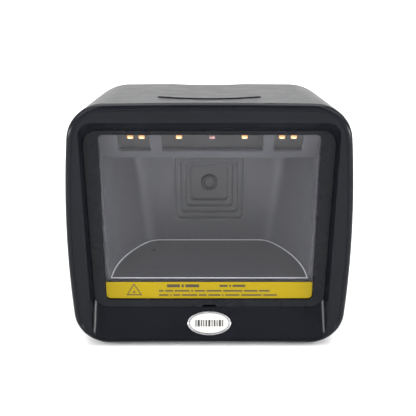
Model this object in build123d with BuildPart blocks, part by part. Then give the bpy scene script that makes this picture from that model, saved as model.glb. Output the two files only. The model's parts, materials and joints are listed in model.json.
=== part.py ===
"""Desktop presentation barcode scanner: a front bezel with a recessed window, a shell
behind it, and the camera, lamps and boards that they hold.

The frame: +X to the right of someone who faces the window, +Y from the window to the back,
+Z up. The origin is on the table under the middle of the scanner. All sizes are millimetres.
"""
from build123d import *
import os
from math import hypot

os.makedirs("parts", exist_ok=True)

# ---------------------------------------------------------------- driving dimensions
front = -46.0                # the ring's front face
rear = 46.0                  # the shell's rear face
foot_lift = 1.5              # the case's lowest point above the table
wall = 2.4                   # casing wall
flange = 3.0                 # thickness of the ring in front of the shell
seam = front + flange        # where the ring and the shell meet

# The casing's outline, at the seam and at the rear face: half widths at the bottom, at the
# widest height and at the top, the heights of the top's ends, its crown, and the corner radii.
front_outline = dict(bottom_half=73.1, mid_half=75.9, top_half=70.4, top=139.6, crown=0.9,
                     arch=0.8, top_radius=20.0, bottom_radius=19.0)
rear_outline = dict(bottom_half=70.5, mid_half=73.5, top_half=72.0, top=126.5, crown=0.5,
                    arch=0.1, top_radius=26.0, bottom_radius=19.0)
widest = 59.5                # height of the casing's widest place

# The recess in the ring, at the front face and at the window frame's face.
frame_face = -38.0
recess_front = dict(top_half=66.3, bottom_half=64.8, bottom=4.3, top=131.0, radius=7.0)
recess_back = dict(top_half=65.5, bottom_half=64.0, bottom=21.0, top=124.4, radius=8.0)
collar_wall = 2.2

# The stack behind the frame's face.
frame_thickness = 1.4
pane_thickness = 2.0
gasket_thickness = 0.8
ledge_thickness = 2.0
pane_front = frame_face + frame_thickness
pane_back = pane_front + pane_thickness
ledge_front = pane_back + gasket_thickness
ledge_back = ledge_front + ledge_thickness

window_half = 57.4
window_bottom = 25.7
window_top = 121.7
strip_top = 36.1             # upper edge of the label along the window's foot

# The light shroud: its plan at the floor and at the top, and its side profile.
shroud_wall = 1.8
floor_level = 36.4
floor_front = -32.5
plan_front = -33.4
back_wall = 18.0
plan_low = dict(level=34.6, front_half=55.3, mid=(48.1, -0.7), back_half=35.0)
plan_high = dict(level=126.0, front_half=57.7, mid=(55.6, -2.0), back_half=48.2)
plan_corner = 12.0
panel_top = (-33.4, 121.7)   # the slanted lamp panel, as depth and height
panel_foot = (-23.5, 104.5)
ceiling_back = 96.5
floor_thickness = floor_level - plan_low["level"]

camera_level = 70.0
baffle_sizes = (39.5, 33.7, 27.8, 22.0)
baffle_step = 2.5
baffle_half = 20.7

base_bottom = foot_lift + 0.8
base_thickness = 1.8
cavity_floor = base_bottom + base_thickness + wall
board_level = 12.5
board_thickness = 1.6
board_top = board_level + board_thickness

key_front = -38.0
key_back = -17.5
key_front_half = 23.9
key_back_half = 27.2
key_gap = 0.35
key_sink = 0.65              # the key's top below the shell's
key_under = 132.7
key_flange = 1.0
key_travel = 1.0
key_board_top = 127.6
key_post_height = 8.6        # the key board's posts, up into the shell's top wall


def facing(depth):
    """A plane at a depth behind the origin's, whose normal looks forward: x right, y up."""
    return Plane.XZ.offset(-depth)


def backing(depth):
    """A plane at a depth whose normal looks back: x left, y up."""
    return Plane((0, depth, 0), x_dir=(-1, 0, 0), z_dir=(0, 1, 0))


def between(first, last, part_way):
    """The value that lies part of the way from first to last."""
    return first + (last - first) * part_way


def casing_outline(depth, inset=0.0):
    """The casing's outline at a depth, four shallow arcs with rounded corners."""
    part_way = (depth - seam) / (rear - seam)
    size = {name: between(front_outline[name], rear_outline[name], part_way) for name in front_outline}
    low_half, mid_half, top_half = (size[name] - inset for name in ("bottom_half", "mid_half", "top_half"))
    low, top = foot_lift + inset, size["top"] - inset
    with BuildSketch(facing(depth)) as outline:
        with BuildLine():
            ThreePointArc((-low_half, low), (0, low + size["arch"]), (low_half, low))
            ThreePointArc((low_half, low), (mid_half, widest), (top_half, top))
            ThreePointArc((top_half, top), (0, top + size["crown"]), (-top_half, top))
            ThreePointArc((-top_half, top), (-mid_half, widest), (-low_half, low))
        make_face()
        fillet(outline.vertices().group_by(Axis.Y)[-1], size["top_radius"] - inset)
        fillet(outline.vertices().group_by(Axis.Y)[0], size["bottom_radius"] - inset)
    return outline.sketch


def casing_block(first, last, inset=0.0):
    """The casing's solid between two depths, all of it drawn in by an inset."""
    with BuildPart() as block:
        loft([casing_outline(first, inset), casing_outline(last, inset)], ruled=True)
    return block.part


def recess_outline(depth, grow=0.0):
    """The recess's rounded outline at a depth; behind the frame's face it stays the same."""
    part_way = min((depth - front) / (frame_face - front), 1.0)
    size = {name: between(recess_front[name], recess_back[name], part_way) for name in recess_front}
    with BuildSketch(facing(depth)) as outline:
        with BuildLine():
            Polyline((-size["bottom_half"], size["bottom"]), (size["bottom_half"], size["bottom"]),
                     (size["top_half"], size["top"]), (-size["top_half"], size["top"]), close=True)
        make_face()
        fillet(outline.vertices(), size["radius"])
        if grow:
            offset(amount=grow)
    return outline.sketch


def recess_block(first, last, grow=0.0):
    """The recess's solid between two depths, grown by an amount."""
    with BuildPart() as block:
        loft([recess_outline(first, grow), recess_outline(last, grow)], ruled=True)
    return block.part


def upright_plate(depth, thickness, half, bottom, top, radius):
    """A plate that stands across the scanner, from a depth back by its thickness."""
    with BuildPart() as plate:
        with BuildSketch(facing(depth)):
            with Locations((0, (bottom + top) / 2)):
                RectangleRounded(2 * half, top - bottom, radius)
        extrude(amount=-thickness)
    return plate.part


def slab(low, high, half_width, first, last, radius):
    """A level plate between two heights, from one depth to another."""
    with BuildPart() as plate:
        with BuildSketch(Plane.XY.offset(low)):
            with Locations((0, (first + last) / 2)):
                RectangleRounded(2 * half_width, last - first, radius)
        extrude(amount=high - low)
    return plate.part


def screws(plane, points, head_radius, head_height, shank_radius, shank_length):
    """Cross-recess screws whose heads stand on the plane, with their shanks behind it."""
    slot_length, slot_width = 1.5 * head_radius, 0.3 * head_radius
    with BuildPart() as group:
        with BuildSketch(plane):
            with Locations(*points):
                Circle(head_radius)
        extrude(amount=head_height, taper=14)
        with BuildSketch(plane):
            with Locations(*points):
                Circle(shank_radius)
        extrude(amount=-shank_length)
        with BuildSketch(plane.offset(head_height)):
            with Locations(*points):
                Rectangle(slot_length, slot_width)
                Rectangle(slot_width, slot_length)
        extrude(amount=-0.6 * head_height, mode=Mode.SUBTRACT)
    return group.part


def both_sides(points):
    """The points and their mirror images across the middle plane."""
    return [(side * x, y) for x, y in points for side in (-1, 1)]


# ---------------------------------------------------------------- front bezel
post_points = both_sides([(64.0, 26.0), (64.0, 104.0)])
post_radius = 3.2
post_back = -20.0
thread_hole = 1.25
ear_points = both_sides([(61.5, 50.0), (61.5, 86.0)])
ledge_hole = dict(half=59.8, bottom=24.4, top=123.1, radius=2.0)
badge_slope = (recess_back["bottom"] - recess_front["bottom"]) / (frame_face - front)
badge_level = 12.9
badge_depth = frame_face - (recess_back["bottom"] - badge_level) / badge_slope
badge_plane = Plane((0, badge_depth, badge_level), x_dir=(1, 0, 0), z_dir=(0, -badge_slope, 1))
badge_sink = 0.5

with BuildPart() as front_bezel:
    extrude(casing_outline(seam), amount=flange)
    fillet(front_bezel.faces().sort_by(Axis.Y)[0].outer_wire().edges(), 2.4)
    # a lip that registers inside the shell, open at the top for the key and below for the floor
    add(casing_block(seam, seam + 4.0, 2.7))
    add(casing_block(seam, seam + 4.0, 4.3), mode=Mode.SUBTRACT)
    add(slab(130.0, 142.0, 31.0, seam, seam + 4.0, 0.5), mode=Mode.SUBTRACT)
    add(slab(0.0, cavity_floor + 0.4, 80.0, seam, seam + 4.0, 0.5), mode=Mode.SUBTRACT)
    add(recess_block(seam, frame_face, collar_wall))
    add(recess_block(frame_face, ledge_back, collar_wall))
    with BuildSketch(facing(post_back)):
        with Locations(*post_points):
            Circle(post_radius)
    extrude(amount=post_back - ledge_back)
    add(recess_block(front, frame_face), mode=Mode.SUBTRACT)
    add(recess_block(frame_face, ledge_front), mode=Mode.SUBTRACT)
    add(upright_plate(ledge_front - 1, ledge_thickness + 2, **ledge_hole), mode=Mode.SUBTRACT)
    with BuildSketch(facing(post_back)):
        with Locations(*post_points):
            Circle(thread_hole)
    extrude(amount=9.0, mode=Mode.SUBTRACT)
    with BuildSketch(facing(ledge_back)):
        with Locations(*ear_points):
            Circle(0.9)
    extrude(amount=1.5, mode=Mode.SUBTRACT)
    with BuildSketch(badge_plane):
        Ellipse(12.4, 6.9)
    extrude(amount=-badge_sink, mode=Mode.SUBTRACT)

# ---------------------------------------------------------------- window group
notch_half = 4.0

with BuildPart() as window_frame:
    extrude(recess_outline(frame_face, -0.2), amount=-frame_thickness)
    add(upright_plate(frame_face - 1, frame_thickness + 2, window_half, window_bottom, window_top, 2.4),
        mode=Mode.SUBTRACT)
    with BuildSketch(facing(frame_face)):
        with Locations((0, recess_back["bottom"] + 0.2)):
            RectangleRounded(2 * notch_half, 2.4, 1.0)
    extrude(amount=-frame_thickness, mode=Mode.SUBTRACT)
    fillet(window_frame.faces().sort_by(Axis.Y)[0].inner_wires()[0].edges(), 0.5)

with BuildPart() as scan_window:
    extrude(recess_outline(pane_front, -0.3), amount=-pane_thickness)

with BuildPart() as window_gasket:
    extrude(recess_outline(pane_back, -0.4), amount=-gasket_thickness)
    add(upright_plate(pane_back - 1, gasket_thickness + 2, **ledge_hole), mode=Mode.SUBTRACT)

with BuildPart() as caution_strip:
    add(upright_plate(pane_front - 0.2, 0.2, window_half - 0.2, window_bottom + 0.2, strip_top + 5, 2.4))
    split(bisect_by=Plane.XY.offset(strip_top), keep=Keep.BOTTOM)

with BuildPart() as badge_rim:
    with BuildSketch(badge_plane.offset(-badge_sink)):
        Ellipse(12.35, 6.85)
        Ellipse(11.2, 5.7, mode=Mode.SUBTRACT)
    extrude(amount=badge_sink + 0.9)
    fillet(badge_rim.faces().sort_by(Axis(badge_plane.origin, badge_plane.z_dir))[-1].edges(), 0.3)

with BuildPart() as badge_plate:
    with BuildSketch(badge_plane.offset(-badge_sink)):
        Ellipse(11.15, 5.65)
    extrude(amount=badge_sink + 0.5)

# ---------------------------------------------------------------- rear housing
well_radius = 3.4
well_wall = 1.4
well_floor = 3.0
board_posts = both_sides([(45.0, -17.0)]) + both_sides([(45.0, 33.0)])
base_half = 56.0
base_front = -30.0
base_rear = 36.0
base_screw_points = both_sides([(50.0, -25.0)]) + both_sides([(50.0, 31.0)])
weight_screw_points = both_sides([(30.0, 6.0)])
key_board_depth = (key_front + key_back) / 2
key_screw_points = both_sides([(32.0, key_board_depth)])
socket_level = 20.4
socket_half = 7.75
scoop_half = 28.5
scoop_depth = 1.2
scoop_radius = (scoop_half ** 2 + scoop_depth ** 2) / (2 * scoop_depth)
top_fall = (front_outline["top"] - rear_outline["top"]) / (rear - seam)
cover_thickness = 2.0        # the cover in the back, flush with the shell
cover_gap = 0.2
rebate_wall = 1.4            # the shell's edge that the cover rests against
cavity_back = rear - cover_thickness - rebate_wall
rebate = dict(half=57.0, bottom=9.0, top=113.0, radius=8.0)
doorway = dict(half=55.0, bottom=11.0, top=111.0, radius=6.0)
hook_places = (-30.0, 30.0)
hook_width = 8.0
hook_thickness = 1.2
hook_length = 3.0
grille_slots = 5
grille_pitch = 3.4
buzzer_place = (-32.0, 29.0)


def key_block(grow=0.0):
    """The key's outline, wider at the back, carried up through the shell's top."""
    with BuildPart() as block:
        with BuildSketch(Plane.XY.offset(key_under)) as outline:
            with BuildLine():
                near, far = key_front_half + grow, key_back_half + grow
                Polyline((-near, key_front - grow), (near, key_front - grow), (far, key_back + grow),
                         (-far, key_back + grow), close=True)
            make_face()
            fillet(outline.vertices().group_by(Axis.Y)[0], 2.6 + grow)
            fillet(outline.vertices().group_by(Axis.Y)[-1], 0.8 + grow)
        extrude(amount=12.0)
    return block.part


def trough(start, sink=0.0):
    """A wide shallow trough along the sloping top, sunk under it, from a depth to the back."""
    crest = front_outline["top"] + front_outline["crown"] - sink
    along = Vector(0, 1, -top_fall).normalized()
    across = Plane((0, start, crest - top_fall * (start - seam)), x_dir=(1, 0, 0), z_dir=along * -1)
    with BuildPart() as block:
        with BuildSketch(across):
            with Locations((0, scoop_radius - scoop_depth)):
                Circle(scoop_radius)
            Rectangle(2 * scoop_half, 40, mode=Mode.INTERSECT)
        extrude(amount=-100)
    return block.part


with BuildPart() as cavity:
    add(casing_block(seam, cavity_back, wall))
    split(bisect_by=Plane.XY.offset(cavity_floor), keep=Keep.TOP)

with BuildPart() as rear_housing:
    add(casing_block(seam, rear))
    fillet(rear_housing.faces().sort_by(Axis.Y)[-1].edges(), 4.0)
    add(cavity.part, mode=Mode.SUBTRACT)
    # the doorway that the rear cover closes, with a rebate around it
    add(upright_plate(cavity_back - 1, rear - cavity_back + 2, **doorway), mode=Mode.SUBTRACT)
    add(upright_plate(rear - cover_thickness, 2 * cover_thickness, **rebate), mode=Mode.SUBTRACT)
    # standing posts and wells inside
    with BuildSketch(facing(cavity_back)):
        with Locations(*post_points):
            Circle(well_radius + well_wall)
    extrude(amount=cavity_back - post_back)
    with BuildSketch(Plane.XY.offset(cavity_floor)):
        with Locations(*board_posts):
            Circle(3.2)
    extrude(amount=board_level - cavity_floor)
    with BuildSketch(Plane.XY.offset(key_board_top)):
        with Locations(*key_screw_points):
            Circle(2.4)
    extrude(amount=key_post_height)
    add(slab(-1.0, base_bottom + base_thickness, base_half, base_front, base_rear, 4.0), mode=Mode.SUBTRACT)
    add(key_block(key_gap), mode=Mode.SUBTRACT)
    add(trough(key_back + key_gap - 0.05), mode=Mode.SUBTRACT)
    # screw wells from the back
    with BuildSketch(facing(rear)):
        with Locations(*post_points):
            Circle(well_radius)
    extrude(amount=rear - post_back - well_floor, mode=Mode.SUBTRACT)
    with BuildSketch(facing(rear)):
        with Locations(*post_points):
            Circle(1.6)
    extrude(amount=rear - post_back, mode=Mode.SUBTRACT)
    # blind holes for the board, weight, base and key board screws
    with BuildSketch(Plane.XY.offset(board_level)):
        with Locations(*board_posts):
            Circle(thread_hole)
    extrude(amount=-5.0, mode=Mode.SUBTRACT)
    with BuildSketch(Plane.XY.offset(cavity_floor)):
        with Locations(*weight_screw_points):
            Circle(thread_hole)
    extrude(amount=-1.8, mode=Mode.SUBTRACT)
    with BuildSketch(Plane.XY.offset(base_bottom + base_thickness)):
        with Locations(*base_screw_points):
            Circle(thread_hole)
    extrude(amount=1.9, mode=Mode.SUBTRACT)
    with BuildSketch(Plane.XY.offset(key_board_top)):
        with Locations(*key_screw_points):
            Circle(0.9)
    extrude(amount=5.0, mode=Mode.SUBTRACT)

with BuildPart() as rear_cover:
    add(upright_plate(rear - cover_thickness, cover_thickness, rebate["half"] - cover_gap,
                      rebate["bottom"] + cover_gap, rebate["top"] - cover_gap, rebate["radius"] - cover_gap))
    # four snap hooks that reach through the doorway and catch behind its edge
    hook_base = rear - cover_thickness
    for level, side in ((doorway["bottom"] + cover_gap, 1), (doorway["top"] - cover_gap, -1)):
        with BuildSketch(facing(hook_base)):
            with Locations(*[(x, level + side * hook_thickness / 2) for x in hook_places]):
                Rectangle(hook_width, hook_thickness)
        extrude(amount=hook_length)
        with BuildSketch(facing(hook_base - rebate_wall - 0.1)):
            with Locations(*[(x, level) for x in hook_places]):
                Rectangle(hook_width, 2 * hook_thickness)
        extrude(amount=hook_length - rebate_wall - 0.1)
    # the lead's opening and the beeper's grille
    with BuildSketch(facing(rear)):
        with Locations((0, socket_level)):
            RectangleRounded(13.8, 10.6, 1.0)
        with Locations((buzzer_place[0], socket_level)):
            with GridLocations(0, grille_pitch, 1, grille_slots):
                SlotOverall(17.0, 1.6)
    extrude(amount=cover_thickness, mode=Mode.SUBTRACT)

with BuildPart() as base_plate:
    add(slab(base_bottom, base_bottom + base_thickness, base_half - 0.2, base_front + 0.2,
             base_rear - 0.2, 3.8))
    with Locations(*[(x, y, base_bottom) for x, y in base_screw_points]):
        with Locations(Rotation(180, 0, 0)):
            CounterSinkHole(1.5, 2.6, depth=base_thickness)
    foot_points = both_sides([(40.0, base_front + 10.0)]) + both_sides([(40.0, base_rear - 10.0)])
    with BuildSketch(Plane.XY.offset(base_bottom)):
        with Locations(*foot_points):
            Circle(6.2)
    extrude(amount=0.6, mode=Mode.SUBTRACT)

with BuildPart() as rubber_feet:
    with BuildSketch():
        with Locations(*foot_points):
            Circle(6.0)
    extrude(amount=base_bottom + 0.6)
    chamfer(rubber_feet.edges().group_by(Axis.Z)[0], 0.6)

with BuildPart() as rating_label:
    add(slab(base_bottom - 0.1, base_bottom, 24.0, -12.0, 18.0, 1.0))

with BuildPart() as ballast_weight:
    add(slab(cavity_floor, cavity_floor + 4.0, 38.0, -16.0, 28.0, 2.0))
    with Locations(*[(x, y, cavity_floor + 4.0) for x, y in weight_screw_points]):
        Hole(1.6, depth=4.0)
    chamfer(ballast_weight.edges().group_by(Axis.Z)[-1].filter_by(GeomType.LINE), 0.4)

# ---------------------------------------------------------------- top key
with BuildPart() as top_key:
    add(casing_block(seam, rear, key_sink))
    add(key_block(), mode=Mode.INTERSECT)
    add(trough(key_front - 1.0, key_sink), mode=Mode.SUBTRACT)
    add(slab(key_under, key_under + key_flange, key_back_half + 1.3, key_front - 1.0, key_back + 1.0, 1.0))
    with BuildSketch(Plane.XY.offset(key_under)):
        with Locations((0, key_board_depth)):
            Circle(2.2)
    extrude(amount=-1.0)

spring_points = [(-15.0, key_board_depth), (15.0, key_board_depth)]
spring_wire = 0.22
spring_coil = 1.9
spring_turns = 4

with BuildPart() as one_spring:
    spring_low = key_board_top + spring_wire + 0.05
    spring_high = key_under - spring_wire - 0.05
    with BuildLine():
        coil = Helix((spring_high - spring_low) / spring_turns, spring_high - spring_low, spring_coil,
                     center=(0, 0, spring_low))
    with BuildSketch(Plane(coil @ 0, z_dir=coil % 0)):
        Circle(spring_wire)
    sweep(path=coil, is_frenet=True)

with BuildPart() as key_springs:
    for x, y in spring_points:
        add(one_spring.part.moved(Location((x, y, 0))))

with BuildPart() as key_switch:
    add(slab(key_board_top, key_board_top + 3.0, 3.1, key_board_depth - 3.1, key_board_depth + 3.1, 0.4))
    with Locations((0, key_board_depth, key_board_top + 3.0)):
        Hole(1.55, depth=2.0)

with BuildPart() as switch_plunger:
    with BuildSketch(Plane.XY.offset(key_board_top + 2.2)):
        with Locations((0, key_board_depth)):
            Circle(1.5)
    extrude(amount=key_under - 1.0 - key_board_top - 2.2)

with BuildPart() as key_board:
    add(slab(key_board_top - 1.2, key_board_top, 35.0, key_board_depth - 3.5, key_board_depth + 3.5, 1.0))
    with Locations(*[(x, y, key_board_top) for x, y in key_screw_points]):
        Hole(1.1, depth=1.2)

# ---------------------------------------------------------------- light shroud
panel_length = hypot(panel_top[0] - panel_foot[0], panel_top[1] - panel_foot[1])
panel_middle = (0, (panel_top[0] + panel_foot[0]) / 2, (panel_top[1] + panel_foot[1]) / 2)
panel_plane = Plane(panel_middle, x_dir=(1, 0, 0),
                    z_dir=(0, panel_foot[1] - panel_top[1], panel_top[0] - panel_foot[0]))
board_windows = dict(led_board_left=(-39.6, 16.8), led_board_centre=(1.6, 53.6),
                     led_board_right=(41.6, 15.2))
window_low = -4.9
window_high = 7.9
lamp_height = 4.9
lamp_board_low = window_low - 2.7
lamp_board_high = window_high + 0.9
lamp_board_front = panel_plane.offset(-shroud_wall)
lamp_board_back = panel_plane.offset(-shroud_wall - 1.2)
lamp_screw_points = [(place + side * (width / 2 - 2.0), window_low - 1.4)
                     for place, width in board_windows.values() for side in (-1, 1)]
baffle_screw_points = both_sides([(22.6, camera_level - 22.6), (22.6, camera_level + 22.6)])


def shroud_plan(size, grow=0.0):
    """The shroud's plan at one height: open towards the window, sides bowed in to a flat back."""
    with BuildSketch(Plane.XY.offset(size["level"])) as plan:
        with BuildLine():
            Line((-size["back_half"], back_wall), (size["back_half"], back_wall))
            for side in (-1, 1):
                ThreePointArc((side * size["back_half"], back_wall), (side * size["mid"][0], size["mid"][1]),
                              (side * size["front_half"], plan_front))
            Line((-size["front_half"], plan_front), (size["front_half"], plan_front))
        make_face()
        fillet(plan.vertices().group_by(Axis.Y)[-1], plan_corner)
        if grow:
            offset(amount=grow)
    return plan.sketch


def shroud_block(grow=0.0):
    """The shroud's inside, or with a wall's growth its outside, under the panel and the ceiling."""
    slope = (ceiling_back - panel_foot[1]) / (back_wall - panel_foot[0])
    lean = (panel_top[1] - panel_foot[1]) / (panel_top[0] - panel_foot[0])
    front_end = plan_front - 3.0
    back_end = back_wall + 5.0
    with BuildPart() as block:
        loft([shroud_plan(plan_low, grow), shroud_plan(plan_high, grow)], ruled=True)
        with BuildSketch(Plane.YZ) as profile:
            with BuildLine():
                Polyline((front_end, 20.0), (back_end, 20.0),
                         (back_end, panel_foot[1] + slope * (back_end - panel_foot[0])), panel_foot,
                         (front_end, panel_foot[1] + lean * (front_end - panel_foot[0])), close=True)
            make_face()
            if grow:
                offset(amount=grow, kind=Kind.INTERSECTION)
        extrude(amount=80, both=True, mode=Mode.INTERSECT)
    return block.part


with BuildPart() as light_shroud:
    add(shroud_block(shroud_wall))
    add(upright_plate(plan_front - 5.0, ledge_back - plan_front + 5.0, 70.0, 10.0, 140.0, 1.0),
        mode=Mode.SUBTRACT)
    with BuildSketch(facing(ledge_back)):
        with Locations((0, (24.0 + 124.0) / 2)):
            RectangleRounded(2 * 60.2, 100.0, 3.0)
        with Locations(*ear_points):
            Circle(3.4)
    extrude(amount=-shroud_wall)
    # the nose that reaches through the ledge towards the pane
    with BuildSketch(facing(plan_front)):
        with Locations((0, (24.8 + 122.7) / 2)):
            RectangleRounded(2 * 59.4, 122.7 - 24.8, 1.6)
    extrude(amount=plan_front - ledge_back)
    add(shroud_block(), mode=Mode.SUBTRACT)
    add(slab(0.0, plan_low["level"], 80.0, ledge_back + shroud_wall, 40.0, 1.0), mode=Mode.SUBTRACT)
    add(upright_plate(back_wall - 1, 4.0, 20.9, camera_level - 20.9, camera_level + 20.9, 2.4),
        mode=Mode.SUBTRACT)
    with BuildSketch(panel_plane.offset(1.0)):
        for place, width in board_windows.values():
            with Locations((place, (window_low + window_high) / 2)):
                RectangleRounded(width, window_high - window_low, 0.8)
    extrude(amount=-4.0, mode=Mode.SUBTRACT)
    # room for the lamp boards behind their windows
    with BuildSketch(lamp_board_front):
        for place, width in board_windows.values():
            with Locations((place, (lamp_board_low + lamp_board_high) / 2)):
                Rectangle(width + 2.6, lamp_board_high - lamp_board_low + 0.6)
    extrude(amount=-6.0, mode=Mode.SUBTRACT)
    with BuildSketch(facing(ledge_back)):
        with Locations(*ear_points):
            Circle(1.1)
    extrude(amount=-shroud_wall, mode=Mode.SUBTRACT)
    with BuildSketch(facing(back_wall + shroud_wall)):
        with Locations(*baffle_screw_points):
            Circle(0.9)
    extrude(amount=1.4, mode=Mode.SUBTRACT)
    with BuildSketch(panel_plane.offset(-shroud_wall)):
        with Locations(*lamp_screw_points):
            Circle(0.75)
    extrude(amount=1.3, mode=Mode.SUBTRACT)

with BuildPart() as shroud_floor:
    extrude(shroud_plan(plan_low, -0.2), amount=floor_thickness)
    add(slab(30.0, 40.0, 70.0, plan_front - 2.0, floor_front, 0.5), mode=Mode.SUBTRACT)
    extrude(shroud_plan(plan_low, shroud_wall), amount=-1.2)
    add(slab(30.0, plan_low["level"], 70.0, plan_front - 8.0, ledge_back + shroud_wall, 0.5),
        mode=Mode.SUBTRACT)

# ---------------------------------------------------------------- camera
baffle_back = back_wall + len(baffle_sizes) * baffle_step + 1.6
baffle_flange_back = back_wall + shroud_wall + 1.6
sensor_front = baffle_back + 6.9
sensor_back = sensor_front + 1.4
camera_posts = [(-14.0, camera_level + 10.5), (14.0, camera_level - 10.5)]

with BuildPart() as camera_baffle:
    add(upright_plate(back_wall, baffle_back - back_wall, baffle_half, camera_level - baffle_half,
                      camera_level + baffle_half, 2.2))
    add(upright_plate(back_wall + shroud_wall, 1.6, 25.5, camera_level - 25.5, camera_level + 25.5, 3.0))
    for step, size in enumerate(baffle_sizes):
        with BuildSketch(facing(back_wall + step * baffle_step)):
            with Locations((0, camera_level)):
                RectangleRounded(size, size, 0.08 * size)
        extrude(amount=-baffle_step, mode=Mode.SUBTRACT)
    with BuildSketch(facing(sensor_front)):
        with Locations(*camera_posts):
            Circle(2.2)
    extrude(amount=sensor_front - baffle_back)
    with BuildSketch(facing(sensor_front)):
        with Locations(*camera_posts):
            Circle(0.9)
    extrude(amount=5.0, mode=Mode.SUBTRACT)
    with BuildSketch(facing(baffle_back)):
        with Locations((0, camera_level)):
            Circle(5.3)
    extrude(amount=3.0, mode=Mode.SUBTRACT)
    with BuildSketch(facing(baffle_flange_back)):
        with Locations(*baffle_screw_points):
            Circle(1.1)
    extrude(amount=1.6, mode=Mode.SUBTRACT)

barrel_front = back_wall + 8.4
barrel_radius = 5.0

with BuildPart() as lens_barrel:
    with BuildSketch(facing(barrel_front)):
        with Locations((0, camera_level)):
            Circle(barrel_radius)
    extrude(amount=-8.2)
    chamfer(lens_barrel.edges().filter_by(GeomType.CIRCLE).group_by(Axis.Y)[0], 0.3)
    for depth, radius, length in ((0.0, 3.9, 1.0), (1.0, 3.3, 1.6), (2.6, 2.4, 5.6)):
        with BuildSketch(facing(barrel_front + depth)):
            with Locations((0, camera_level)):
                Circle(radius)
        extrude(amount=-length, mode=Mode.SUBTRACT)

with BuildPart() as lens_glass:
    with BuildSketch(facing(barrel_front + 1.1)):
        with Locations((0, camera_level)):
            Circle(3.25)
    extrude(amount=-1.45)
    fillet(lens_glass.edges().filter_by(GeomType.CIRCLE).group_by(Axis.Y)[0], 0.9)

with BuildPart() as lens_holder:
    add(upright_plate(baffle_back, sensor_front - baffle_back, 7.5, camera_level - 7.5, camera_level + 7.5, 1.0))
    with BuildSketch(facing(baffle_back)):
        with Locations((0, camera_level)):
            Circle(barrel_radius + 0.05)
    extrude(amount=baffle_back - sensor_front, mode=Mode.SUBTRACT)

with BuildPart() as image_sensor:
    add(upright_plate(sensor_front - 1.3, 1.3, 3.8, camera_level - 2.8, camera_level + 2.8, 0.2))

with BuildPart() as sensor_board:
    add(upright_plate(sensor_front, 1.4, 17.0, camera_level - 14.0, camera_level + 14.0, 1.5))
    with BuildSketch(facing(sensor_back)):
        with Locations(*camera_posts):
            Circle(1.1)
    extrude(amount=1.4, mode=Mode.SUBTRACT)

# ---------------------------------------------------------------- lamps
lamp_places = dict(led_board_left=(-41.4, -35.4), led_board_centre=(-15.9, 18.5), led_board_right=(38.0, 44.2))
sensor_place = 1.5


def lamp_board(place, width):
    """A lamp board behind its window in the slanted panel, with a screw hole in each lower corner."""
    with BuildPart() as board:
        with BuildSketch(lamp_board_front):
            with Locations((place, (lamp_board_low + lamp_board_high) / 2)):
                Rectangle(width + 2.0, lamp_board_high - lamp_board_low)
            with Locations(*lamp_screw_points):
                Circle(0.9, mode=Mode.SUBTRACT)
        extrude(amount=-1.2)
    return board.part


with BuildPart() as led_board_left:
    add(lamp_board(*board_windows["led_board_left"]))

with BuildPart() as led_board_centre:
    add(lamp_board(*board_windows["led_board_centre"]))

with BuildPart() as led_board_right:
    add(lamp_board(*board_windows["led_board_right"]))

lamp_points = [(x, lamp_height) for pair in lamp_places.values() for x in pair]

with BuildPart() as illumination_leds:
    for height, width, thickness, taper in ((0.0, 3.1, 0.6, 0), (0.6, 2.8, 0.4, 24)):
        with BuildSketch(lamp_board_front.offset(height)):
            with Locations(*lamp_points):
                RectangleRounded(width, width - 1.2, 0.3)
        extrude(amount=thickness, taper=taper)

with BuildPart() as presence_sensor:
    with BuildSketch(lamp_board_front):
        with Locations((sensor_place, lamp_height)):
            RectangleRounded(3.0, 1.6, 0.3)
    extrude(amount=0.9)

# ---------------------------------------------------------------- main board and what stands on it
board_half = 50.0
board_front = -22.0
board_rear = 38.0
ribbon_left = -17.5
ribbon_right = -9.5
ribbon_middle = (ribbon_left + ribbon_right) / 2
harness_place = (36.0, 20.0)
connector_height = 5.0

with BuildPart() as main_board:
    add(slab(board_level, board_top, board_half, board_front, board_rear, 2.0))
    with Locations(*[(x, y, board_top) for x, y in board_posts]):
        Hole(1.5, depth=board_thickness)

with BuildPart() as processor_chip:
    with Locations((-8, 2, board_top + 0.6)):
        Box(14, 14, 1.2)
    chamfer(processor_chip.edges().group_by(Axis.Z)[-1], 0.2)

with BuildPart() as memory_chip:
    with Locations((13, 2, board_top + 0.5)):
        Box(10, 8, 1.0)
    chamfer(memory_chip.edges().group_by(Axis.Z)[-1], 0.15)

with BuildPart() as capacitors:
    with BuildSketch(Plane.XY.offset(board_top)):
        with Locations((-34, -13), (-26, -13), (-18, -13)):
            Circle(3.15)
    extrude(amount=7.0)
    fillet(capacitors.edges().group_by(Axis.Z)[-1], 0.5)

with BuildPart() as inductor:
    with Locations((28, -8, board_top + 2.0)):
        Box(8, 8, 4.0)
    fillet(inductor.edges().filter_by(Axis.Z), 1.5)

with BuildPart() as buzzer:
    with BuildSketch(Plane.XY.offset(board_top)):
        with Locations(buzzer_place):
            Circle(6.0)
    extrude(amount=5.5)
    fillet(buzzer.edges().group_by(Axis.Z)[-1], 0.5)
    with Locations((*buzzer_place, board_top + 5.5)):
        Hole(1.2, depth=2.0)

lamp_plug = (10.0, 1.5)
key_plug = (-15.0, 1.5)
plug_height = 3.5

with BuildPart() as board_connectors:
    with Locations((ribbon_middle, 34.5, board_top + 1.25)):
        Box(10.4, 5.0, 2.5)
    with Locations((*harness_place, board_top + connector_height / 2)):
        Box(9.0, 6.0, connector_height)
    with Locations((ribbon_middle, sensor_back + 0.8, 62.0)):
        Box(10.4, 1.6, 4.0)
    with BuildSketch(lamp_board_back):
        with Locations(lamp_plug, key_plug):
            Rectangle(8.0, 5.0)
    extrude(amount=-plug_height)
    with Locations((-25.0, key_board_depth, key_board_top + 1.2)):
        Box(5.6, 6.0, 2.4)

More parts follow.
